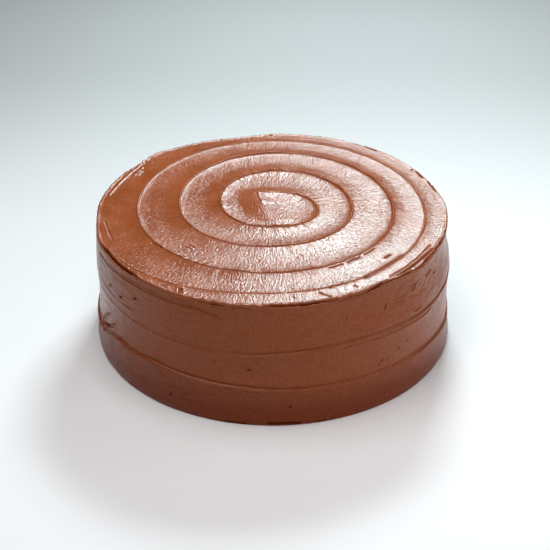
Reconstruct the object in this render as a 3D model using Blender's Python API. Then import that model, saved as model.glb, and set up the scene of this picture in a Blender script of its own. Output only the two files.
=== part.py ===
"""A round chocolate layer cake, frosted all over, with one spatula swirl spread on its top.

Metres, +Z up. The cake stands on Z = 0 and its box is centred on the Z axis.
The swirl runs outwards clockwise, seen from above.
"""
import math

import bmesh
import bpy

# Driving dimensions
TOP_RADIUS = 0.1015
BASE_RADIUS = 0.1046
TOP_HEIGHT = 0.0760  # floor of the troughs that the spatula leaves
RIDGE_HEIGHT = 0.0017  # thin ridges between the troughs, above their floor
RIM_INSET = 0.0025  # from the rim's edge in to where the swirl ends
CENTRE_RADIUS = 0.0015

# Swirl: radius of the ridge at each quarter turn, from the centre outwards, in metres
QUARTERS_PER_TURN = 4
SWIRL_START = -1.25  # turns, counted clockwise from +X
RIDGE_RADII = (
    0.0015, 0.0040, 0.0055, 0.0085, 0.0210, 0.0265, 0.0190, 0.0280, 0.0495, 0.0465,
    0.0410, 0.0530, 0.0730, 0.0705, 0.0690, 0.0780, 0.0903, 0.0886, 0.0890, 0.0990,
)
SWIRL_END = SWIRL_START + (len(RIDGE_RADII) - 1) / QUARTERS_PER_TURN

# Cross profile of one trough: share of its width, share of each neighbouring ridge's height
INNER_RIDGE_FALL = ((0.00, 1.00), (0.05, 0.62), (0.15, 0.32), (0.38, 0.03), (0.60, 0.0), (1.00, 0.0))
OUTER_RIDGE_RISE = ((0.00, 0.00), (0.38, 0.00), (0.60, 0.06), (0.84, 0.28), (0.94, 0.46), (1.00, 1.0))
TROUGH_STOPS = (0.0, 0.05, 0.15, 0.38, 0.60, 0.84, 0.94, 1.0)

# Outline: low swells and dents of the rim as (degrees from +X, metres, half width in degrees)
RIM_SWELLS = ((62, 0.0010, 18), (105, -0.0024, 14), (222, 0.0015, 26), (298, -0.0026, 16))
SWELL_REACH = 0.045  # height over which they die out below the rim

# Side: three smoothed bands, parted by two thin ridges
BAND_EDGES = (0.0728, 0.0455, 0.0240, 0.0)  # heights from the rim's foot down to the base
BAND_HOLLOW = 0.0006
BAND_STOPS = (0.16, 0.40, 0.66, 0.88)
GROOVE_DEPTH = 0.0005
GROOVE_RISE = 0.0009
SIDE_RIDGE = 0.0009
SIDE_RIDGE_DROP = 0.0006
SIDE_FOOT_DROP = 0.0028
EDGE_WAVE = 0.0009
BASE_TUCK = 0.0006

STEPS_PER_TURN = 60
WELD = 0.00002


def smooth_step(low, high, value):
    """Goes from 0 at low to 1 at high with level ends."""
    share = min(max((value - low) / (high - low), 0.0), 1.0)
    return share * share * (3.0 - 2.0 * share)


def along(stops, place):
    """Reads a value off a list of (place, value) stops joined by straight lines."""
    for (low, first), (high, second) in zip(stops, stops[1:]):
        if place <= high:
            return first + (second - first) * max(place - low, 0.0) / (high - low)
    return stops[-1][1]


def through(values, place):
    """Smooth curve through evenly spaced values (Catmull-Rom)."""
    index = min(max(int(place), 0), len(values) - 2)
    share = place - index
    before = values[max(index - 1, 0)]
    start = values[index]
    end = values[index + 1]
    after = values[min(index + 2, len(values) - 1)]
    slope = (end - before) / 2.0
    bend = before - 2.5 * start + 2.0 * end - 0.5 * after
    twist = (after - before) / 2.0 + 1.5 * (start - end)
    return start + slope * share + bend * share ** 2 + twist * share ** 3


def angle_apart(first, second):
    """Smallest turn between two angles, in degrees."""
    return abs((first - second + 180.0) % 360.0 - 180.0)


def rim_swell(angle):
    """How far the rim stands out of its circle at an angle in radians."""
    degrees = math.degrees(angle)
    return sum(
        size * math.exp(-((angle_apart(degrees, middle) / width) ** 2))
        for middle, size, width in RIM_SWELLS
    )


def rim_radius(angle):
    """Radius of the rim's edge."""
    ripple = 0.0003 * math.sin(9.0 * angle + 1.0) + 0.0002 * math.sin(17.0 * angle)
    return TOP_RADIUS + rim_swell(angle) + ripple


def ridge_radius(turn):
    """Radius of the swirl's ridge, held between the centre and the rim's inner line."""
    limit = rim_radius(-2.0 * math.pi * turn) - RIM_INSET
    if turn <= SWIRL_START:
        return CENTRE_RADIUS
    if turn >= SWIRL_END:
        return limit
    curve = through(RIDGE_RADII, (turn - SWIRL_START) * QUARTERS_PER_TURN)
    join = smooth_step(SWIRL_END - 0.25, SWIRL_END, turn)
    return curve + (limit - curve) * join


def ridge_height(turn):
    """Height of the ridge above the trough floor: none at the centre, low near the rim."""
    start = smooth_step(SWIRL_START + 0.6, SWIRL_START + 1.2, turn)
    low = 1.0 - 0.55 * smooth_step(2.3, 3.0, turn)
    end = 1.0 - smooth_step(SWIRL_END - 0.25, SWIRL_END, turn)
    return RIDGE_HEIGHT * start * low * end


def trough_point(turn, share):
    """Point of the top, from one ridge (share 0) to the same ridge a turn further out (share 1)."""
    angle = -2.0 * math.pi * turn
    inner = ridge_radius(turn)
    outer = ridge_radius(turn + 1.0)
    radius = inner + (outer - inner) * share
    height = TOP_HEIGHT
    height += ridge_height(turn) * along(INNER_RIDGE_FALL, share)
    height += ridge_height(turn + 1.0) * along(OUTER_RIDGE_RISE, share)
    return radius * math.cos(angle), radius * math.sin(angle), height


def add_top(bm):
    """Lays a flat strip along the swirl, one spatula pass wide, and welds each turn to the next."""
    turns = SWIRL_END - SWIRL_START + 1.0
    steps = round(turns * STEPS_PER_TURN)
    stops = len(TROUGH_STOPS) - 1
    bmesh.ops.create_grid(bm, x_segments=steps, y_segments=stops, size=0.5)
    for vert in bm.verts:
        step = round((vert.co.x + 0.5) * steps)
        stop = round((vert.co.y + 0.5) * stops)
        vert.co = trough_point(SWIRL_START - 1.0 + step / STEPS_PER_TURN, TROUGH_STOPS[stop])
    bmesh.ops.remove_doubles(bm, verts=bm.verts, dist=WELD)


def edge_height(band, angle):
    """Height of a band's upper edge, which wanders a little round the cake."""
    if band in (0, len(BAND_EDGES) - 1):
        return BAND_EDGES[band]
    return BAND_EDGES[band] + EDGE_WAVE * math.sin(2.0 * angle + 1.3 * band)


def side_radius(height, angle):
    """Plain radius of the side at a height, wider at the base, with the rim's swells dying out."""
    lean = TOP_RADIUS + (BASE_RADIUS - TOP_RADIUS) * (1.0 - height / TOP_HEIGHT)
    fade = smooth_step(TOP_HEIGHT - SWELL_REACH, TOP_HEIGHT, height)
    return lean + fade * (rim_radius(angle) - TOP_RADIUS)


def rim_rings():
    """Rings over the rim: its rounded top edge and the foot of the edge, as (offset, height)."""
    edge = ((-0.0012, 0.0006), (-0.0002, 0.0002), (0.0001, -0.0010), (-0.0003, -0.0024))
    return [lambda angle, o=out, u=up: (rim_radius(angle) + o, TOP_HEIGHT + u) for out, up in edge]


def band_ring(band, share):
    """A ring across a smoothed band, which is slightly hollow."""
    def ring(angle):
        top = edge_height(band, angle)
        bottom = edge_height(band + 1, angle)
        height = top + (bottom - top) * share
        return side_radius(height, angle) - BAND_HOLLOW * math.sin(math.pi * share), height
    return ring


def ridge_ring(band, offset, rise):
    """A ring at the thin ridge between two bands."""
    def ring(angle):
        height = edge_height(band, angle) + rise
        return side_radius(height, angle) + offset, height
    return ring


def side_rings():
    """All rings from the rim down to the base."""
    rings = rim_rings()
    bands = len(BAND_EDGES) - 1
    for band in range(bands):
        if band > 0:
            rings.append(ridge_ring(band, -GROOVE_DEPTH, GROOVE_RISE))
            rings.append(ridge_ring(band, SIDE_RIDGE, -SIDE_RIDGE_DROP))
            rings.append(ridge_ring(band, 0.0, -SIDE_FOOT_DROP))
        rings.extend(band_ring(band, share) for share in BAND_STOPS)
    rings.append(ridge_ring(bands, -BASE_TUCK, 0.0))
    return rings


def open_edges(bm, radius):
    """Open edges outside a radius: the outline of what is modelled so far."""
    edges = [edge for edge in bm.edges if edge.is_boundary]
    return [edge for edge in edges if edge.verts[0].co.xy.length > radius]


def add_side(bm):
    """Extrudes the rim's outline ring by ring down to the base and closes the flat underside."""
    outline = open_edges(bm, TOP_RADIUS / 2.0)
    for ring in side_rings():
        made = bmesh.ops.extrude_edge_only(bm, edges=outline)["geom"]
        outline = [item for item in made if isinstance(item, bmesh.types.BMEdge) and item.is_boundary]
        for vert in (item for item in made if isinstance(item, bmesh.types.BMVert)):
            angle = math.atan2(vert.co.y, vert.co.x)
            radius, height = ring(angle)
            vert.co = (radius * math.cos(angle), radius * math.sin(angle), height)
    bmesh.ops.contextual_create(bm, geom=outline)


def add_centre(bm):
    """Closes the small ring at the middle of the swirl."""
    inner = [edge for edge in bm.edges if edge.is_boundary]
    bmesh.ops.contextual_create(bm, geom=inner)


def centre_on_axis(bm):
    """Moves the cake so that its box is centred on the Z axis."""
    for axis in (0, 1):
        places = [vert.co[axis] for vert in bm.verts]
        middle = (min(places) + max(places)) / 2.0
        for vert in bm.verts:
            vert.co[axis] -= middle


def buttercream():
    """Chocolate buttercream: mid brown, satin."""
    material = bpy.data.materials.new("chocolate_buttercream")
    material.use_nodes = True
    shader = material.node_tree.nodes["Principled BSDF"]
    shader.inputs["Base Color"].default_value = (0.26, 0.105, 0.055, 1.0)
    shader.inputs["Roughness"].default_value = 0.45
    shader.inputs["Metallic"].default_value = 0.0
    return material


def build_cake():
    """The whole cake is one solid."""
    bm = bmesh.new()
    add_top(bm)
    add_side(bm)
    add_centre(bm)
    centre_on_axis(bm)
    bmesh.ops.recalc_face_normals(bm, faces=bm.faces)
    mesh = bpy.data.meshes.new("cake")
    bm.to_mesh(mesh)
    bm.free()
    mesh.materials.append(buttercream())
    mesh.shade_smooth()
    cake = bpy.data.objects.new("cake", mesh)
    bpy.context.collection.objects.link(cake)
    return cake


def main():
    """Clears the scene and models the cake."""
    for item in list(bpy.data.objects):
        bpy.data.objects.remove(item, do_unlink=True)
    build_cake()


main()
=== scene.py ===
"""A round chocolate cake, frosted with buttercream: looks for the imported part.

Metres, +Z up. The swirl on the top runs outwards clockwise, seen from above.
"""
import math

import bmesh
import bpy
import numpy as np
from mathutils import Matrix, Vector


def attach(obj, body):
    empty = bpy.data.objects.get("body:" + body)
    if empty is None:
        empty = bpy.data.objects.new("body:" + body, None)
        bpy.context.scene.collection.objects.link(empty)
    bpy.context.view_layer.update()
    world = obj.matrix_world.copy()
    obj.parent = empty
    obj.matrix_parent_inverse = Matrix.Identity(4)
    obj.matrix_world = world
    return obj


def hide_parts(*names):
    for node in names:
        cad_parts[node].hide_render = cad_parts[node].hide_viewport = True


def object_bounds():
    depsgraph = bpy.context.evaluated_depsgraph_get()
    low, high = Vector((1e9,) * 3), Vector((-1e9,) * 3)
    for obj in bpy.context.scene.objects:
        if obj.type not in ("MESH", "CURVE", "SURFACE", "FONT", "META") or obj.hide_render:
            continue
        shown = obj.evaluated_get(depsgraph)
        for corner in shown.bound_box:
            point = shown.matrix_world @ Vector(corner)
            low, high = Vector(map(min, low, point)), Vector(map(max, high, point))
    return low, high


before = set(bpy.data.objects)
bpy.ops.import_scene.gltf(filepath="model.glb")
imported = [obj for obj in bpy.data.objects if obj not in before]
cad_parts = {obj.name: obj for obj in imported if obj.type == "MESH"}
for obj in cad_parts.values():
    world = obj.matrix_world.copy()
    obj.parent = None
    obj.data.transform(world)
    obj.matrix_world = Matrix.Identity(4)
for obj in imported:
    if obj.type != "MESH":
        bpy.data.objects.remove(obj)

MM = 0.001
cad_low, cad_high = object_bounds()
CAKE_HEIGHT = cad_high[2] - cad_low[2]
BASE_RADIUS = (cad_high[0] - cad_low[0]) / 2.0

# Sizes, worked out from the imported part's height and base
TOP_RADIUS = BASE_RADIUS * 0.971
RIDGE_HEIGHT = 1.7 * MM
TOP_FLOOR = CAKE_HEIGHT - RIDGE_HEIGHT  # floor of the troughs that the spatula leaves
SLAB_DEPTH = 6.0 * MM  # how far the top coat reaches down inside the side coat

# Swirl: radius of the ridge at each quarter turn, from the centre outwards, in millimetres
QUARTERS_PER_TURN = 4
SWIRL_START = -1.25  # turns, counted clockwise from +X
RIDGE_RADII = (
    1.5, 4.0, 5.5, 8.5, 21.0, 26.5, 19.0, 28.0, 49.5, 46.5,
    41.0, 53.0, 73.0, 70.5, 69.0, 78.0, 90.3, 88.6, 89.0, 99.0,
)
SWIRL_END = SWIRL_START + (len(RIDGE_RADII) - 1) / QUARTERS_PER_TURN
CENTRE_RADIUS = 1.5 * MM
RIM_INSET = 2.5 * MM
PASS_WIDTH = 21.0 * MM  # usual distance from one ridge to the next
FLOOR_WIDTH = 9.0 * MM  # how far the floor of a pass slopes down from the inner ridge

# Fall outwards from a ridge: shares of its height that a step, a hollow and the floor take
STEP_SHARE, STEP_PLACE, STEP_SOFTNESS = 0.33, 0.42 * MM, 0.12 * MM
HOLLOW_SHARE, HOLLOW_LENGTH = 0.12, 1.8 * MM
FLOOR_SHARE = 0.55
OUTWARD_REACH = 15.0 * MM

# Rise to the next ridge: shares of its height that its lip, a curl and a long rise take
LIP_SHARE, LIP_LENGTH = 0.38, 0.5 * MM
CURL_SHARE, CURL_LENGTH = 0.42, 2.7 * MM
RISE_SHARE = 0.20
INWARD_REACH = 12.0 * MM

# Low swells and dents of the rim: degrees from +X, millimetres, half width in degrees
RIM_SWELLS = ((62, 1.0, 18), (105, -2.4, 14), (222, 1.5, 26), (298, -2.6, 16))

# Mound at the centre: x of its left edge as a cubic of y, and heights, in millimetres
TONGUE_EDGE = (-0.000218, 0.012486, -0.375225, -4.175)
MOUND_HEIGHT = 1.5
HOOK_HEIGHT = 0.6

# Unevenness of the top's floor and of the side: heights, lengths, crossing waves in the noise
WAVE_COUNT = 40
FLOOR_SWELL, FLOOR_SWELL_LENGTH = 0.025 * MM, 13.0 * MM
SIDE_SWELL, SIDE_SWELL_LENGTH = 0.07 * MM, 16.0 * MM

# Where the top coat stops short of the side coat's lip: from, to, gap in millimetres, end length
RIM_GAPS = ((203.0, 224.0, 1.7, 3.0), (268.0, 287.0, 1.6, 3.0), (306.0, 344.0, 1.1, 4.0))

# The side coat's lip: usual depth under the top's floor, and where it rises: from, to, end, rise
LIP_DEPTH = 2.0
LIP_RISES = (
    (196.0, 246.0, 6.0, 1.25),
    (262.0, 290.0, 5.0, 0.9),
    (304.0, 350.0, 5.0, 1.3),
    (140.0, 186.0, 3.0, 1.2),
)

# Mesh density
TOP_STEPS = 456  # round each turn of the swirl
TOP_STOPS = 32  # across one spatula pass
SIDE_STEPS = 600
COARSE_RING = 1.0 * MM
FINE_RING = 0.42 * MM
FINE_BANDS = ((0.0, 3.0), (12.0, 28.0), (42.5, 50.0))  # the base's edge and the ridges, in millimetres
WELD_DISTANCE = 0.006 * MM

# Buttercream: colours where it is deepest and palest, for the body and for the lowest band, whose darker,
# redder colours are a painted reflection of a cake board that is not built
DEEP_BODY = (0.250, 0.058, 0.015, 1.0)
PALE_BODY = (0.290, 0.070, 0.020, 1.0)
DEEP_BOARD_REFLECTION = (0.165, 0.024, 0.001, 1.0)
PALE_BOARD_REFLECTION = (0.195, 0.031, 0.002, 1.0)
BOARD_REFLECTION_DARKEST = 7.0 * MM  # height under which the lowest band is at its deepest
COLOUR_SPREAD = (0.40, 0.62)  # pattern values at which the colour is deepest and palest

# Buttercream: shine and relief; a fineness is a pattern's scale per metre
TOP_REFRACTION = 1.39
SIDE_REFRACTION = 1.30
ROUGHNESS = (0.17, 0.25)
ROUGHNESS_SPREAD = (0.3, 0.7)  # pattern values at which the roughness is least and most
TEXTURE_DEPTH = 0.44 * MM
MOTTLE_FINENESS = 70.0
SPECK_FINENESS = 600.0
STREAK_FINENESS = 420.0
STREAK_SQUEEZE = (0.22, 0.22, 1.0)  # draws the streaks out level
GRAIN_FINENESS = 900.0
DRAG_STRENGTH = 1.6
RIPPLE_FINENESS = 1150.0
RIPPLE_REACH = 0.7 * MM  # how far each ripple is drawn out along the radius, to either side
CENTRE_CALM = 0.012  # radius within which the ripples lose their direction

# Table top: colour by the cake and far behind it, where the greyer colour is painted shade, and where the
# painted shade starts and ends
TABLE_SIZE = 3.0
NEAR_TABLE = (0.85, 0.83, 0.835, 1.0)
SHADED_FAR_TABLE = (0.40, 0.388, 0.388, 1.0)
TABLE_SHADE_FADE = (-0.05, 0.40)

# Soft boxes: name, degrees round from +X and up, width and height as the cake sees them, radiance, tint
LIGHT_DISTANCE = 0.7
COOL = (0.82, 1.0, 1.03)
WHITE = (1.0, 1.0, 1.0)
SOFT_BOXES = (
    ("window", 79.0, 41.0, 17.0, 11.0, 50.0, COOL),
    ("low_window", 80.0, 29.0, 10.0, 10.0, 10.0, COOL),
    ("overhead", 210.0, 74.0, 44.0, 44.0, 4.0, WHITE),
    ("right_box", 8.0, 32.0, 26.0, 26.0, 2.1, WHITE),
    ("front_right_box", 330.0, 25.0, 28.0, 24.0, 3.3, WHITE),
    ("front_box", 285.0, 22.0, 60.0, 30.0, 0.6, WHITE),
)
WORLD_COLOUR = (0.90, 0.95, 1.0, 1.0)
WORLD_STRENGTH = 0.03

# Camera: lens in millimetres, degrees down, distance from the point that it is aimed at
LENS = 101.42182
LOOK_DOWN = math.radians(31.58)
CAMERA_DISTANCE = 0.921
CAMERA_AIM = Vector((0.0018, 0.0, 0.033))

# Marks in the top: degrees and millimetres from the centre along the mark, half width, depth
TOP_MARKS = (
    (((187.0, 96.3), (187.0, 99.8)), 0.5, 0.7),
    (((187.0, 96.3), (193.0, 95.4), (199.0, 95.2)), 0.5, 0.35),
    (((240.0, 97.2), (240.6, 99.0), (241.2, 101.0)), 0.75, 1.7),
    (((286.3, 92.0), (287.4, 94.2), (289.0, 97.3)), 0.5, 1.0),
    (((299.0, 92.0), (299.2, 94.2)), 0.35, 0.7),
    (((282.3, 88.3), (283.1, 88.3)), 0.45, 0.8),
    (((284.8, 88.1), (285.4, 88.1)), 0.45, 0.8),
    (((290.4, 89.1), (290.8, 89.3)), 0.4, 0.6),
    (((277.0, 93.0), (277.5, 94.4)), 0.35, 0.7),
    (((304.5, 88.9), (309.0, 87.9), (315.0, 87.3), (321.0, 87.1), (325.0, 87.6)), 0.6, 1.0),
    (((320.3, 81.6), (321.8, 81.2), (323.2, 81.7)), 0.55, 1.1),
    (((296.5, 71.0), (299.5, 71.3), (303.0, 71.0)), 0.5, 0.6),
    (((306.0, 71.4), (309.0, 71.0), (312.5, 71.3)), 0.5, 0.7),
    (((316.0, 71.2), (319.0, 71.6), (323.0, 71.3)), 0.45, 0.6),
    (((219.0, 60.2), (221.5, 59.8), (224.0, 59.8)), 0.4, 0.7),
    (((219.5, 61.2), (224.0, 60.8)), 0.4, -0.4),
    (((209.0, 76.6), (212.0, 74.6), (214.5, 74.8)), 0.5, 0.55),
    (((288.0, 50.2), (288.6, 52.6)), 0.4, 0.4),
    (((284.5, 53.0), (285.5, 54.4)), 0.35, 0.4),
    (((14.5, 100.0), (18.0, 100.2), (21.0, 100.4)), 0.55, 1.1),
    (((25.0, 100.0), (29.5, 100.1)), 0.45, 0.7),
    (((31.0, 98.4), (31.8, 99.8)), 0.4, 0.6),
    (((50.0, 100.8), (54.0, 101.2), (58.0, 101.6)), 0.45, 0.6),
    (((90.6, 98.8), (91.6, 101.0)), 0.5, 0.9),
    (((97.3, 95.2), (98.7, 92.8)), 0.55, 0.9),
    (((109.3, 98.0), (110.2, 100.4)), 0.5, 0.8),
    (((143.0, 99.6), (150.0, 98.2), (160.0, 97.6), (168.0, 98.0)), 0.55, -0.35),
    (((147.3, 93.4), (151.2, 92.6)), 0.4, -0.35),
    (((147.3, 94.9), (151.6, 94.3)), 0.4, -0.35),
    (((145.0, 96.2), (148.2, 95.6)), 0.4, -0.3),
    (((312.0, 95.9), (320.0, 95.7), (328.0, 95.7), (337.0, 96.4)), 0.45, 0.6),
    (((313.0, 97.1), (322.0, 96.9), (334.0, 97.4)), 0.5, -0.35),
    (((314.0, 98.3), (321.0, 98.1), (327.0, 98.2), (335.0, 99.2)), 0.5, 0.9),
    (((320.8, 96.9), (321.4, 98.8)), 0.5, 0.9),
    (((306.0, 97.6), (309.5, 97.4)), 0.45, -0.6),
)

# Marks in the side: degrees round the cake and millimetres above the base, half width, depth
SIDE_MARKS = (
    (((-137.0, 61.0), (-136.3, 61.2)), 0.5, 1.15),
    (((-144.5, 55.9), (-143.6, 56.2)), 0.47, 1.03),
    (((-151.5, 56.8), (-150.6, 57.2)), 0.43, 0.92),
    (((-108.0, 39.0), (-107.4, 39.0)), 0.4, 0.69),
    (((-97.2, 35.3), (-96.6, 35.9)), 0.47, 1.2),
    (((-84.8, 12.4), (-84.1, 12.6)), 0.43, 0.92),
    (((-122.8, 9.4), (-122.1, 9.6)), 0.47, 1.03),
    (((-66.5, 60.6), (-66.3, 62.4)), 0.32, 0.8),
    (((-88.1, 67.4), (-87.7, 67.6)), 0.29, 0.46),
    (((-80.3, 56.4), (-79.6, 56.7)), 0.36, 0.69),
    (((-52.4, 60.0), (-51.6, 63.0)), 0.43, 1.15),
    (((-49.5, 61.2), (-47.3, 61.0)), 0.32, 0.57),
    (((-46.4, 61.0), (-44.6, 60.6)), 0.32, 0.57),
    (((-41.3, 65.7), (-40.0, 66.4), (-38.8, 66.3)), 0.4, 0.92),
    (((-40.6, 63.9), (-39.2, 64.3)), 0.36, 0.8),
    (((-32.6, 65.8), (-30.8, 66.5), (-29.0, 66.2)), 0.5, 0.8),
    (((-26.6, 61.8), (-25.2, 62.3)), 0.36, 0.8),
    (((-36.0, 59.0), (-34.6, 59.6)), 0.32, 0.57),
    (((-47.3, 31.6), (-46.7, 32.4)), 0.43, 1.03),
    (((-43.3, 33.3), (-42.7, 33.8)), 0.36, 0.8),
    (((-54.3, 28.8), (-53.7, 29.3)), 0.4, 0.92),
    (((-52.3, 27.8), (-51.7, 28.3)), 0.36, 0.8),
    (((-55.3, 26.9), (-54.8, 27.2)), 0.32, 0.69),
    (((-40.2, 50.4), (-38.6, 50.7), (-37.0, 50.3)), 0.45, 0.6),
    (((-91.0, 1.6), (-87.0, 1.9), (-81.5, 1.4)), 0.7, 1.4),
    (((-104.5, 1.0), (-98.0, 1.1)), 0.5, 0.9),
    (((-76.0, 0.8), (-73.5, 0.9)), 0.5, 0.9),
    (
        ((-160.0, 69.2), (-140.0, 70.0), (-120.0, 70.2), (-112.0, 69.6), (-107.0, 67.6), (-105.0, 65.2)),
        0.5,
        0.4,
    ),
    (((-150.0, 71.4), (-130.0, 71.8), (-112.0, 71.2)), 0.4, 0.25),
    (((-162.0, 52.2), (-150.0, 52.6), (-138.0, 52.4)), 0.5, 0.3),
    (((-151.0, 29.6), (-153.0, 27.0), (-157.0, 23.4), (-159.6, 22.4)), 1.0, 1.3),
    (((-165.5, 22.0), (-167.5, 13.0), (-169.0, 6.0)), 0.9, 0.8),
    (((-157.0, 31.4), (-160.6, 27.0), (-162.0, 21.0), (-160.2, 18.4)), 0.6, -0.9),
    (((-67.0, 45.2), (-55.0, 44.6), (-45.0, 44.1), (-30.0, 43.0)), 0.5, 0.5),
    (((-125.0, 15.5), (-121.0, 15.0), (-117.5, 16.0), (-116.0, 18.5)), 0.5, 0.2),
)

# Rough patches of the side: from, to in degrees, from, to in millimetres, roughness in millimetres
ROUGH_PATCHES = (
    (-104.0, -80.0, 35.0, 44.0, 0.16),
    (-106.0, -80.0, 20.8, 25.2, 0.20),
    (-50.0, -24.0, 54.0, 70.0, 0.10),
)

# Heights of the two thin ridges of the side: degrees, millimetres
LOW_RIDGE = (
    (-180, 17.0), (-165, 16.0), (-158, 18.6), (-154, 22.0), (-147, 25.0), (-141, 24.0), (-130, 25.6),
    (-120, 25.0), (-110, 24.4), (-100, 24.0), (-90, 23.0), (-70, 22.4), (-50, 21.4), (-30, 20.0),
    (-10, 15.0), (20, 19.0), (60, 23.0), (110, 22.0), (150, 24.0), (180, 17.0),
)
HIGH_RIDGE = (
    (-180, 45.5), (-150, 45.6), (-120, 45.2), (-96, 44.4), (-85, 46.2), (-70, 46.9), (-50, 46.4),
    (-30, 45.6), (-10, 46.0), (30, 44.6), (80, 46.4), (130, 45.0), (180, 45.5),
)

# Outline of the side: share of a band (0 base, 1 low ridge, 2 high ridge, 3 rim), millimetres
LEFT_OUTLINE = (
    (0.0, -0.4), (0.2, -0.2), (0.6, -0.2), (0.92, -0.4), (1.06, -1.1), (1.35, -1.4), (1.6, -1.35),
    (1.8, -1.0), (1.95, -0.6), (2.1, 0.0), (2.3, 0.3), (2.6, 0.3), (3.0, 0.1),
)
FRONT_OUTLINE = (
    (0.0, 0.0), (0.15, 0.1), (0.5, -0.1), (0.96, 0.3), (1.02, -0.3), (1.3, -0.45), (1.7, -0.3),
    (1.97, 0.25), (2.03, -0.3), (2.2, -0.3), (2.5, -0.4), (2.8, -0.2), (3.0, 0.0),
)
RIGHT_OUTLINE = (
    (0.0, 1.4), (0.25, 1.4), (0.6, 0.7), (0.95, 0.1), (1.05, -0.1), (1.4, 0.1), (1.7, 0.3),
    (1.9, 0.8), (2.02, 1.2), (2.12, 1.6), (2.25, 1.2), (2.4, 0.1), (2.6, -0.9), (2.8, -0.9), (3.0, -0.3),
)


def smooth_step(low, high, value):
    """Goes from 0 at low to 1 at high with level ends."""
    share = np.clip((value - low) / (high - low), 0.0, 1.0)
    return share * share * (3.0 - 2.0 * share)


def between(value, start, end, fade):
    """One between two places, zero outside them, with a fade across each place."""
    return smooth_step(start - fade, start + fade, value) * smooth_step(end + fade, end - fade, value)


def waves(points, size, seed):
    """Soft noise of about unit strength made of crossing waves around one length."""
    source = np.random.default_rng(seed)
    aims = source.normal(size=(WAVE_COUNT, points.shape[1]))
    aims /= np.linalg.norm(aims, axis=1)[:, None]
    aims *= (2.0 * math.pi / (size * source.uniform(0.6, 1.9, WAVE_COUNT)))[:, None]
    phases = source.uniform(0.0, 2.0 * math.pi, WAVE_COUNT)
    return np.sin(points @ aims.T + phases).sum(axis=1) * math.sqrt(2.0 / WAVE_COUNT)


def places_round(angle):
    """Points on the rim's circle, so that noise round the cake closes on itself."""
    return np.stack([np.cos(angle) * TOP_RADIUS, np.sin(angle) * TOP_RADIUS], axis=1)


def degrees_of(angle):
    """Angle in degrees from 0 to 360."""
    return np.degrees(angle) % 360.0


def rim_radius(angle):
    """Radius of the rim, with its low swells and dents."""
    degrees = np.degrees(angle)
    total = 0.3 * np.sin(9.0 * angle + 1.0) + 0.2 * np.sin(17.0 * angle)
    for middle, size, width in RIM_SWELLS:
        apart = np.abs((degrees - middle + 180.0) % 360.0 - 180.0)
        total = total + size * np.exp(-((apart / width) ** 2))
    return TOP_RADIUS + total * MM


def rim_gap(angle):
    """How far the top coat stops short of the side coat's lip."""
    degrees = degrees_of(angle)
    return sum(gap * between(degrees, start, end, fade) for start, end, gap, fade in RIM_GAPS) * MM


def spline(values, place):
    """Smooth curve through evenly spaced values (Catmull-Rom)."""
    place = np.clip(place, 0.0, len(values) - 1.0)
    index = np.minimum(place.astype(int), len(values) - 2)
    share = place - index
    padded = np.array((values[0],) + tuple(values) + (values[-1],))
    before, start, end, after = (padded[index + offset] for offset in range(4))
    slope = (end - before) / 2.0
    bend = before - 2.5 * start + 2.0 * end - 0.5 * after
    twist = (after - before) / 2.0 + 1.5 * (start - end)
    return start + slope * share + bend * share ** 2 + twist * share ** 3


def ridge_radius(turn):
    """Radius of the swirl's ridge, held between the centre and the rim's inner line."""
    limit = rim_radius(-2.0 * math.pi * turn) - RIM_INSET
    curve = spline(RIDGE_RADII, (turn - SWIRL_START) * QUARTERS_PER_TURN) * MM
    join = smooth_step(SWIRL_END - 0.25, SWIRL_END, turn)
    return np.where(turn <= SWIRL_START, CENTRE_RADIUS, curve + (limit - curve) * join)


def ridge_height(turn):
    """Height of the ridge above the trough floor: none at the centre, low near the rim."""
    start = smooth_step(SWIRL_START + 0.9, SWIRL_START + 1.2, turn)
    low = 1.0 - 0.62 * smooth_step(2.35, 2.9, turn)
    faint_left = 1.0 - 0.25 * np.maximum(-np.cos(2.0 * math.pi * turn), 0.0) * (turn > 1.2)
    end = 1.0 - smooth_step(SWIRL_END - 0.25, SWIRL_END, turn)
    angle = -2.0 * math.pi * turn
    radius = ridge_radius(turn)
    place = np.stack([radius * np.cos(angle), radius * np.sin(angle)], axis=1)
    uneven = 1.0 + 0.10 * waves(place, 14.0 * MM, 3) + 0.08 * waves(place, 3.2 * MM, 4)
    return RIDGE_HEIGHT * start * low * faint_left * end * uneven


def outer_fall(distance, width):
    """Share of a ridge's height left outwards from its crest: a steep step, then a sloping floor."""
    wide = distance * PASS_WIDTH / width
    left = np.clip(1.0 - distance / np.minimum(OUTWARD_REACH, 0.92 * width), 0.0, 1.0)
    at_crest = 1.0 + math.exp(-STEP_PLACE / STEP_SOFTNESS)
    step = STEP_SHARE * at_crest / (1.0 + np.exp((distance - STEP_PLACE) / STEP_SOFTNESS))
    hollow = HOLLOW_SHARE * np.exp(-distance / HOLLOW_LENGTH)
    slope = np.log1p(np.exp((FLOOR_WIDTH - wide) / MM)) / math.log1p(math.exp(FLOOR_WIDTH / MM))
    return (step + hollow + FLOOR_SHARE * slope) * left ** 0.25


def inner_rise(distance, width):
    """Share of a ridge's height inwards from its crest: a gentle rise, then a steep lip."""
    left = np.clip(1.0 - distance / np.minimum(INWARD_REACH, 0.8 * width), 0.0, 1.0)
    lip = LIP_SHARE * np.exp(-((distance / LIP_LENGTH) ** 1.8))
    curl = CURL_SHARE * np.exp(-distance / CURL_LENGTH)
    return (lip + curl) * left ** 0.25 + RISE_SHARE * left ** 1.2


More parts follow.
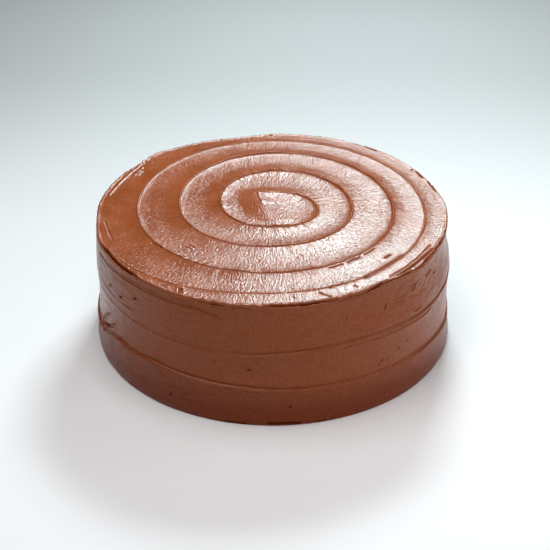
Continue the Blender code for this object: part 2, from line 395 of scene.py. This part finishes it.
def swirl_points(turn, share):
    """Points of the top, from one ridge (share 0) to the same ridge a turn further out (share 1)."""
    angle = -2.0 * math.pi * turn
    inner = ridge_radius(turn)
    outer = ridge_radius(turn + 1.0)
    width = np.maximum(outer - inner, 1.0e-6)
    radius = inner + width * share
    fall = outer_fall(width * share, width) * (share < 1.0)
    rise = inner_rise(width * (1.0 - share), width) * (share > 0.0)
    height = TOP_FLOOR + ridge_height(turn) * np.where(share <= 0.0, 1.0, fall)
    height = height + ridge_height(turn + 1.0) * np.where(share >= 1.0, 1.0, rise)
    return np.stack([radius * np.cos(angle), radius * np.sin(angle), height], axis=1)


def crowded(share):
    """Moves evenly spaced shares towards both ridges, where the surface bends most."""
    return share - 0.72 * np.sin(2.0 * math.pi * share) / (2.0 * math.pi)


def coordinates(bm):
    """Vertex coordinates as an array."""
    return np.array([vert.co[:] for vert in bm.verts])


def move_to(bm, places):
    """Puts each vertex at its row of an array."""
    for vert, place in zip(bm.verts, places):
        vert.co = place


def add_swirl(bm):
    """Lays a flat strip along the swirl, one spatula pass wide, and welds each turn to the next."""
    steps = round((SWIRL_END - SWIRL_START + 1.0) * TOP_STEPS)
    bmesh.ops.create_grid(bm, x_segments=steps, y_segments=TOP_STOPS, size=0.5)
    flat = coordinates(bm)
    step = np.round((flat[:, 0] + 0.5) * steps)
    stop = np.round((flat[:, 1] + 0.5) * TOP_STOPS) / TOP_STOPS
    move_to(bm, swirl_points(SWIRL_START - 1.0 + step / TOP_STEPS, crowded(stop)))
    bmesh.ops.remove_doubles(bm, verts=bm.verts, dist=WELD_DISTANCE)


def near_line(places, line):
    """Distance of each flat place from a line of points."""
    nearest = np.full(len(places), 1.0e9)
    for start, end in zip(line, line[1:]):
        run = end - start
        along = np.clip(((places - start) @ run) / max(run @ run, 1.0e-18), 0.0, 1.0)
        gap = places - start - along[:, None] * run
        nearest = np.minimum(nearest, np.sqrt((gap ** 2).sum(axis=1)))
    return nearest


def refine(bm, places, lines, reach, cuts):
    """Divides the faces near a set of lines; places gives each vertex's flat place."""
    chosen = np.zeros(len(places), dtype=bool)
    for line, width in lines:
        chosen |= near_line(places, line) < reach * width
    bm.verts.index_update()
    edges = [edge for edge in bm.edges if chosen[edge.verts[0].index] or chosen[edge.verts[1].index]]
    bmesh.ops.subdivide_edges(bm, edges=edges, cuts=cuts, use_grid_fill=True)


def mark_depth(places, marks):
    """How deep the marks cut at each flat place."""
    depth = np.zeros(len(places))
    for line, width, cut in marks:
        apart = near_line(places, line) / width
        depth += cut * np.exp(-(apart ** 2.4)) - 0.18 * abs(cut) * np.exp(-(((apart - 1.9) / 0.7) ** 2))
    return depth


def polar_marks(marks):
    """Turns the top's marks into flat lines in metres."""
    made = []
    for line, width, cut in marks:
        points = [(r * MM * math.cos(math.radians(a)), r * MM * math.sin(math.radians(a))) for a, r in line]
        made.append((np.array(points), width * MM, cut * MM))
    return made


def centre_tongue(places):
    """Mound where the spatula started, with a crisp hooked edge on its left and far sides."""
    x, y = places[:, 0] / MM, places[:, 1] / MM
    left = x - np.polyval(TONGUE_EDGE, np.clip(y, -18.0, 24.0))
    mound = smooth_step(-14.0, 2.0, left) * (1.0 - 0.9 * smooth_step(-2.0, 26.0, left))
    mound = mound * smooth_step(27.0, 19.0, x) * smooth_step(-20.0, -9.0, y) * smooth_step(30.0, 21.0, y)
    inside = np.minimum(left + 0.4 * np.sin(y / 2.2), 21.6 + 0.4 * np.sin(x / 2.7) - y)
    hook = smooth_step(-0.3, 0.4, inside) * np.exp(-np.maximum(inside, 0.0) / 5.0)
    hook = hook * between(y, 8.0, 40.0, 1.5) * between(x, -40.0, 2.0, 2.0)
    return (MOUND_HEIGHT * mound + HOOK_HEIGHT * hook) * MM


def extrude_rings(bm, outline, rings):
    """Extrudes an open outline ring by ring; each ring gives radius and height from the angle."""
    for ring in rings:
        made = bmesh.ops.extrude_edge_only(bm, edges=outline)["geom"]
        outline = [item for item in made if isinstance(item, bmesh.types.BMEdge) and item.is_boundary]
        verts = [item for item in made if isinstance(item, bmesh.types.BMVert)]
        angles = np.array([math.atan2(vert.co.y, vert.co.x) for vert in verts])
        radius, height = ring(angles)
        height = np.broadcast_to(height, radius.shape)
        for vert, angle, out, up in zip(verts, angles, radius, height):
            vert.co = (out * math.cos(angle), out * math.sin(angle), up)


def slab_edge(angle):
    """Radius of the top coat's ragged edge."""
    degrees = degrees_of(angle)
    places = places_round(angle)
    torn = 0.30 * between(degrees, 250.0, 345.0, 4.0) + 0.08
    ragged = torn * (waves(places, 5.0 * MM, 11) + 0.7 * waves(places, 2.2 * MM, 12)) * 0.6
    tab = 1.7 * between(degrees, 130.4, 138.6, 0.4)
    tear = -1.6 * np.exp(-(((degrees - 304.5) / 3.0) ** 2))
    tail = 1.9 * np.exp(-(((degrees - 140.9) / 0.7) ** 2))
    return rim_radius(angle) - rim_gap(angle) + (ragged + tab + tear + tail) * MM


def slab_rings():
    """Rings over the rim of the top coat and down inside the side coat."""
    edge = (
        (-1.7, 0.10), (-1.2, 0.22), (-0.8, 0.30), (-0.45, 0.28), (-0.15, 0.10), (0.05, -0.25),
        (0.08, -0.7), (-0.02, -1.2), (-0.3, -1.8), (-1.0, -2.8), (-3.0, -4.2),
    )

    def ring_at(out, up):
        def ring(angle):
            places = places_round(angle)
            lift = 0.16 * waves(places, 3.0 * MM, 21) * math.exp(-abs(out))
            return slab_edge(angle) + out * MM, TOP_FLOOR + (up + lift) * MM
        return ring

    rings = [ring_at(out, up) for out, up in edge]
    rings.append(lambda angle: (rim_radius(angle) * 0.9, TOP_FLOOR - SLAB_DEPTH))
    return rings


def open_loop(bm, radius, outside):
    """Open edges outside or inside a radius."""
    edges = [edge for edge in bm.edges if edge.is_boundary]
    return [edge for edge in edges if (edge.verts[0].co.xy.length > radius) == outside]


def make_piece(name, bm, material, shades):
    """Turns a bmesh into a smooth piece of the cake, with a value at each vertex for each shade."""
    bmesh.ops.recalc_face_normals(bm, faces=bm.faces)
    mesh = bpy.data.meshes.new(name)
    bm.to_mesh(mesh)
    bm.free()
    mesh.shade_smooth()
    mesh.materials.append(material)
    for key, values in shades.items():
        mesh.attributes.new(key, "FLOAT", "POINT").data.foreach_set("value", values.astype(np.float32))
    piece = bpy.data.objects.new(name, mesh)
    bpy.context.collection.objects.link(piece)
    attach(piece, "root")
    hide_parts("cake")


def top_coat(material):
    """The swirled top: a slab of buttercream whose edge lies over the side coat."""
    bm = bmesh.new()
    add_swirl(bm)
    extrude_rings(bm, open_loop(bm, TOP_RADIUS / 2.0, True), slab_rings())
    marks = polar_marks(TOP_MARKS)
    refine(bm, coordinates(bm)[:, :2], [(line, width) for line, width, cut in marks], 2.6, 1)
    places = coordinates(bm)
    flat = places[:, :2]
    upper = smooth_step(TOP_FLOOR - 2.0 * MM, TOP_FLOOR - 0.6 * MM, places[:, 2])
    places[:, 2] += upper * (FLOOR_SWELL * waves(flat, FLOOR_SWELL_LENGTH, 5) + centre_tongue(flat))
    places[:, 2] -= upper * mark_depth(flat, marks)
    move_to(bm, places)
    bmesh.ops.contextual_create(bm, geom=open_loop(bm, TOP_RADIUS / 2.0, True))
    bmesh.ops.contextual_create(bm, geom=open_loop(bm, TOP_RADIUS / 2.0, False))
    count = len(bm.verts)
    make_piece("top_coat", bm, material, {"swirl": np.ones(count), "board_reflection": np.zeros(count)})


def curve_at(points, value):
    """Height of a line of straight runs between points."""
    return np.interp(value, [row[0] for row in points], [row[1] for row in points])


def band_share(height, azimuth):
    """Place within the three bands: 0 base, 1 low ridge, 2 high ridge, 3 rim."""
    low = curve_at(LOW_RIDGE, azimuth) * MM
    high = curve_at(HIGH_RIDGE, azimuth) * MM
    share = np.where(height < low, height / low, 1.0 + (height - low) / (high - low))
    return np.where(height > high, 2.0 + (height - high) / (TOP_FLOOR - high), share)


def side_radius(height, azimuth):
    """Radius of the side coat: leaning bands, with a narrow groove over each thin ridge."""
    angle = np.radians(azimuth)
    lean = 1.0 - height / TOP_FLOOR
    radius = TOP_RADIUS + (BASE_RADIUS - TOP_RADIUS) * lean
    radius = radius + smooth_step(TOP_FLOOR - 45 * MM, TOP_FLOOR, height) * (rim_radius(angle) - TOP_RADIUS)
    share = band_share(height, azimuth)
    left = np.maximum(-np.cos(angle), 0.0) ** 2
    right = np.maximum(np.cos(angle), 0.0) ** 2
    outline = left * curve_at(LEFT_OUTLINE, share) + right * curve_at(RIGHT_OUTLINE, share)
    outline = outline + (1.0 - left - right) * curve_at(FRONT_OUTLINE, share)
    low = (height - curve_at(LOW_RIDGE, azimuth) * MM) / MM
    high = (height - curve_at(HIGH_RIDGE, azimuth) * MM) / MM
    outline = outline + ridge_line(low, 0.90, 0.70)
    strength = 0.25 + 0.75 * smooth_step(-112.0, -84.0, azimuth)
    outline = outline + ridge_line(high, 0.55 * strength, 0.75 * strength)
    outline = outline - 0.5 * np.exp(-height / (0.7 * MM))
    return radius + outline * MM


def ridge_line(above, crest, groove):
    """A thin crest with a narrow groove over it; above is the height over the ridge's line."""
    proud = crest * np.exp(-((above + 0.2) / 0.55) ** 2)
    sunk = groove * np.exp(-((above - 0.95) / 0.55) ** 2)
    return proud - sunk


def side_heights():
    """Heights of the side's rings, closer together at the thin ridges and the base."""
    places = []
    height = TOP_FLOOR - 2.6 * MM
    while height > 0.3 * MM:
        places.append(height)
        fine = any(low * MM < height < high * MM for low, high in FINE_BANDS)
        height -= FINE_RING if fine else COARSE_RING
    return places + [0.0]


def lip_drop(angle):
    """How far the side coat's lip stands below the top's floor, in millimetres."""
    degrees = degrees_of(angle)
    return LIP_DEPTH - sum(rise * between(degrees, start, end, fade) for start, end, fade, rise in LIP_RISES)


def lip_rings():
    """Rings of the side coat's upper lip, from inside the top coat outwards."""
    lip = (
        (-4.5, -2.6), (-2.6, -1.9), (-1.5, -1.2), (-0.9, -0.4),
        (-0.5, 0.0), (-0.15, -0.05), (0.1, -0.45), (0.15, -1.0),
    )

    def ring_at(out, up):
        def ring(angle):
            places = places_round(angle)
            ragged = 0.18 * waves(places, 4.0 * MM, 31)
            edge = rim_radius(angle) + 0.35 * MM * between(degrees_of(angle), 196.0, 246.0, 6.0)
            return edge + (out + 0.5 * ragged) * MM, TOP_FLOOR + (up - lip_drop(angle) + ragged) * MM
        return ring

    return [ring_at(out, up) for out, up in lip]


def side_coat(material):
    """The smoothed side, down to the flat base."""
    bm = bmesh.new()
    bmesh.ops.create_circle(bm, segments=SIDE_STEPS, radius=TOP_RADIUS - 8.0 * MM, cap_ends=False)
    for vert in bm.verts:
        vert.co.z = TOP_FLOOR - SLAB_DEPTH
    rings = lip_rings()
    for height in side_heights():
        def ring(angle, height=height):
            return side_radius(np.full(angle.shape, height), np.degrees(angle)), height
        rings.append(ring)
    extrude_rings(bm, list(bm.edges), rings)
    dig_side(bm)
    loops = [edge for edge in bm.edges if edge.is_boundary]
    bmesh.ops.contextual_create(bm, geom=[edge for edge in loops if edge.verts[0].co.z < 1.0 * MM])
    bmesh.ops.contextual_create(bm, geom=[edge for edge in loops if edge.verts[0].co.z > 1.0 * MM])
    places = coordinates(bm)
    azimuth = np.degrees(np.arctan2(places[:, 1], places[:, 0]))
    low = curve_at(LOW_RIDGE, azimuth) * MM
    # Share of the painted dark reflection of a cake board, which is not built: the band under the low ridge,
    # deepest near the base
    board_reflection = smooth_step(low + 0.8 * MM, low - 0.6 * MM, places[:, 2])
    board_reflection *= 0.35 + 0.65 * smooth_step(low, BOARD_REFLECTION_DARKEST, places[:, 2])
    make_piece("side_coat", bm, material, {"swirl": np.zeros(len(places)), "board_reflection": board_reflection})


def unrolled(places):
    """Side places unrolled flat: length round the cake from the front, and height."""
    azimuth = np.arctan2(places[:, 0], -places[:, 1])
    return np.stack([azimuth * TOP_RADIUS, places[:, 2]], axis=1)


def unrolled_marks(marks):
    """Turns the side's marks into unrolled lines in metres."""
    made = []
    for line, width, cut in marks:
        points = [(math.radians(a + 90.0) * TOP_RADIUS, z * MM) for a, z in line]
        made.append((np.array(points), width * MM, cut * MM))
    return made


def dig_side(bm):
    """Presses the marks and rough patches into the side."""
    marks = unrolled_marks(SIDE_MARKS)
    refine(bm, unrolled(coordinates(bm)), [(line, width) for line, width, cut in marks], 2.6, 2)
    places = coordinates(bm)
    flat = unrolled(places)
    outer = np.hypot(places[:, 0], places[:, 1]) > TOP_RADIUS - 3.0 * MM
    outer &= places[:, 2] < TOP_FLOOR - 2.2 * MM
    push = -mark_depth(flat, marks)
    degrees = flat[:, 0] / TOP_RADIUS * 180.0 / math.pi - 90.0
    for start, end, low, high, size in ROUGH_PATCHES:
        share = between(degrees, start, end, 3.0) * between(flat[:, 1], low * MM, high * MM, 1.0 * MM)
        streaks = waves(flat * np.array([0.35, 1.0]), 1.6 * MM, 41)
        push += size * MM * share * streaks
    push += SIDE_SWELL * waves(places * np.array([1.0, 1.0, 2.5]), SIDE_SWELL_LENGTH, 42)
    push *= smooth_step(0.0, 0.8 * MM, places[:, 2]) * outer
    length = np.hypot(places[:, 0], places[:, 1])
    places[:, 0] *= 1.0 + push / length
    places[:, 1] *= 1.0 + push / length
    move_to(bm, places)


def vector_math(nodes, links, operation, first, second):
    """One vector operation on a link or constant each."""
    node = nodes.new("ShaderNodeVectorMath")
    node.operation = operation
    for socket, value in ((node.inputs[0], first), (node.inputs[1], second)):
        if isinstance(value, tuple):
            socket.default_value = value
        else:
            links.new(value, socket)
    return node.outputs[0]


def math_node(nodes, links, operation, *values):
    """One scalar operation on links or constants."""
    node = nodes.new("ShaderNodeMath")
    node.operation = operation
    for socket, value in zip(node.inputs, values):
        if isinstance(value, (int, float)):
            socket.default_value = value
        else:
            links.new(value, socket)
    return node.outputs[0]


def noise_at(nodes, links, place, scale, detail):
    """Noise texture read at a place."""
    node = nodes.new("ShaderNodeTexNoise")
    node.inputs["Scale"].default_value = scale
    node.inputs["Detail"].default_value = detail
    links.new(place, node.inputs["Vector"])
    return node.outputs["Fac"]


def chatter(nodes, links, place):
    """Fine ripples drawn out across each spatula pass: noise averaged along the radius."""
    flat = vector_math(nodes, links, "MULTIPLY", place, (1.0, 1.0, 0.0))
    length = nodes.new("ShaderNodeVectorMath")
    length.operation = "LENGTH"
    links.new(flat, length.inputs[0])
    reach = math_node(nodes, links, "ADD", length.outputs["Value"], CENTRE_CALM)
    outward = vector_math(nodes, links, "DIVIDE", flat, reach)
    total = None
    for offset in (-RIPPLE_REACH, 0.0, RIPPLE_REACH):
        shift = vector_math(nodes, links, "MULTIPLY", outward, (offset, offset, offset))
        moved = vector_math(nodes, links, "ADD", place, shift)
        value = noise_at(nodes, links, moved, RIPPLE_FINENESS, 1.0)
        total = value if total is None else math_node(nodes, links, "ADD", total, value)
    return math_node(nodes, links, "MULTIPLY", total, 1.0 / 3.0)


def drag(nodes, links, place):
    """Faint level streaks that the scraper leaves in the side, with a fine grain."""
    squeezed = vector_math(nodes, links, "MULTIPLY", place, STREAK_SQUEEZE)
    streaks = noise_at(nodes, links, squeezed, STREAK_FINENESS, 3.0)
    grain = noise_at(nodes, links, place, GRAIN_FINENESS, 1.0)
    both = math_node(nodes, links, "MULTIPLY_ADD", grain, 0.6, streaks)
    return math_node(nodes, links, "MULTIPLY", both, DRAG_STRENGTH)


def attribute(nodes, name):
    """Value stored at the vertices."""
    node = nodes.new("ShaderNodeAttribute")
    node.attribute_name = name
    return node.outputs["Fac"]


def colour_mix(nodes, links, share, first, second):
    """Mix of two colours or colour links."""
    node = nodes.new("ShaderNodeMix")
    node.data_type = "RGBA"
    links.new(share, node.inputs["Factor"])
    for socket, value in ((node.inputs["A"], first), (node.inputs["B"], second)):
        if isinstance(value, tuple):
            socket.default_value = value
        else:
            links.new(value, socket)
    return node.outputs["Result"]


def scalar_mix(nodes, links, share, first, second):
    """Mix of two values or value links."""
    rest = math_node(nodes, links, "SUBTRACT", 1.0, share)
    part = math_node(nodes, links, "MULTIPLY", first, rest)
    return math_node(nodes, links, "MULTIPLY_ADD", second, share, part)


def buttercream(name, refraction):
    """Satin chocolate buttercream: mottled and rippled on top, finely grained on the side; the side's lowest
    band gets a painted dark reflection of a cake board.
    """
    material = bpy.data.materials.new(name)
    material.use_nodes = True
    nodes = material.node_tree.nodes
    links = material.node_tree.links
    shader = nodes["Principled BSDF"]
    place = nodes.new("ShaderNodeTexCoord").outputs["Object"]
    swirl = attribute(nodes, "swirl")
    shader.inputs["IOR"].default_value = refraction
    bump = nodes.new("ShaderNodeBump")
    bump.inputs["Strength"].default_value = 1.0
    bump.inputs["Distance"].default_value = TEXTURE_DEPTH
    relief = scalar_mix(nodes, links, swirl, drag(nodes, links, place), chatter(nodes, links, place))
    links.new(relief, bump.inputs["Height"])
    links.new(bump.outputs["Normal"], shader.inputs["Normal"])
    mottle = noise_at(nodes, links, place, MOTTLE_FINENESS, 3.0)
    specks = noise_at(nodes, links, place, SPECK_FINENESS, 2.0)
    blend = scalar_mix(nodes, links, swirl, specks, mottle)
    ramp = nodes.new("ShaderNodeMapRange")
    ramp.inputs["From Min"].default_value, ramp.inputs["From Max"].default_value = COLOUR_SPREAD
    links.new(blend, ramp.inputs["Value"])
    body = colour_mix(nodes, links, ramp.outputs["Result"], DEEP_BODY, PALE_BODY)
    # Painted reflection of a cake board, which is not built: darker, redder colours on the band under the
    # low ridge
    board_reflection = colour_mix(nodes, links, ramp.outputs["Result"], DEEP_BOARD_REFLECTION, PALE_BOARD_REFLECTION)
    colour = colour_mix(nodes, links, attribute(nodes, "board_reflection"), body, board_reflection)
    links.new(colour, shader.inputs["Base Color"])
    sheen = nodes.new("ShaderNodeMapRange")
    sheen.inputs["From Min"].default_value, sheen.inputs["From Max"].default_value = ROUGHNESS_SPREAD
    sheen.inputs["To Min"].default_value, sheen.inputs["To Max"].default_value = ROUGHNESS
    links.new(mottle, sheen.inputs["Value"])
    links.new(sheen.outputs["Result"], shader.inputs["Roughness"])
    return material


def table_top():
    """A plain pale table top with painted shade that turns it greyer far behind the cake."""
    bm = bmesh.new()
    bmesh.ops.create_grid(bm, x_segments=1, y_segments=1, size=TABLE_SIZE)
    mesh = bpy.data.meshes.new("table")
    bm.to_mesh(mesh)
    bm.free()
    floor = bpy.data.objects.new("table", mesh)
    bpy.context.collection.objects.link(floor)
    material = bpy.data.materials.new("pale_table")
    material.use_nodes = True
    nodes = material.node_tree.nodes
    links = material.node_tree.links
    shader = nodes["Principled BSDF"]
    parts = nodes.new("ShaderNodeSeparateXYZ")
    links.new(nodes.new("ShaderNodeTexCoord").outputs["Object"], parts.inputs["Vector"])
    # Painted shade: the table's colour turns greyer far behind the cake
    far = nodes.new("ShaderNodeMapRange")
    far.interpolation_type = "SMOOTHSTEP"
    far.inputs["From Min"].default_value, far.inputs["From Max"].default_value = TABLE_SHADE_FADE
    links.new(parts.outputs["Y"], far.inputs["Value"])
    shade = colour_mix(nodes, links, far.outputs["Result"], NEAR_TABLE, SHADED_FAR_TABLE)
    links.new(shade, shader.inputs["Base Color"])
    shader.inputs["Roughness"].default_value = 0.7
    mesh.materials.append(material)


def soft_box(name, azimuth, elevation, width, height, radiance, tint):
    """A soft box aimed at the cake, sized in degrees as the cake sees it."""
    data = bpy.data.lights.new(name, "AREA")
    data.shape = "RECTANGLE"
    data.color = tint
    data.size = 2.0 * LIGHT_DISTANCE * math.tan(math.radians(width) / 2.0)
    data.size_y = 2.0 * LIGHT_DISTANCE * math.tan(math.radians(height) / 2.0)
    data.energy = math.pi * radiance * data.size * data.size_y
    turn, lift = math.radians(azimuth), math.radians(elevation)
    aim = Vector((math.cos(turn) * math.cos(lift), math.sin(turn) * math.cos(lift), math.sin(lift)))
    light = bpy.data.objects.new(name, data)
    light.location = Vector((0.0, 0.0, CAKE_HEIGHT)) + aim * LIGHT_DISTANCE
    light.rotation_euler = aim.to_track_quat("Z", "Y").to_euler()
    bpy.context.collection.objects.link(light)


def studio():
    """Dim world light and soft boxes: bright windows behind the cake and softer fills around it."""
    world = bpy.data.worlds.new("studio")
    world.use_nodes = True
    sky = world.node_tree.nodes["Background"]
    sky.inputs["Color"].default_value = WORLD_COLOUR
    sky.inputs["Strength"].default_value = WORLD_STRENGTH
    bpy.context.scene.world = world
    for box in SOFT_BOXES:
        soft_box(*box)


def camera():
    """Camera from the front, looking down at the cake."""
    data = bpy.data.cameras.new("camera")
    data.sensor_width = 36.0
    data.lens = LENS
    eye = bpy.data.objects.new("camera", data)
    away = Vector((0.0, -math.cos(LOOK_DOWN), math.sin(LOOK_DOWN)))
    eye.location = CAMERA_AIM + away * CAMERA_DISTANCE
    eye.rotation_euler = (math.pi / 2.0 - LOOK_DOWN, 0.0, 0.0)
    bpy.context.collection.objects.link(eye)
    bpy.context.scene.camera = eye


top_coat(buttercream("chocolate_buttercream", TOP_REFRACTION))
side_coat(buttercream("smoothed_buttercream", SIDE_REFRACTION))
table_top()
studio()
camera()
bpy.context.scene.view_settings.view_transform = "Standard"
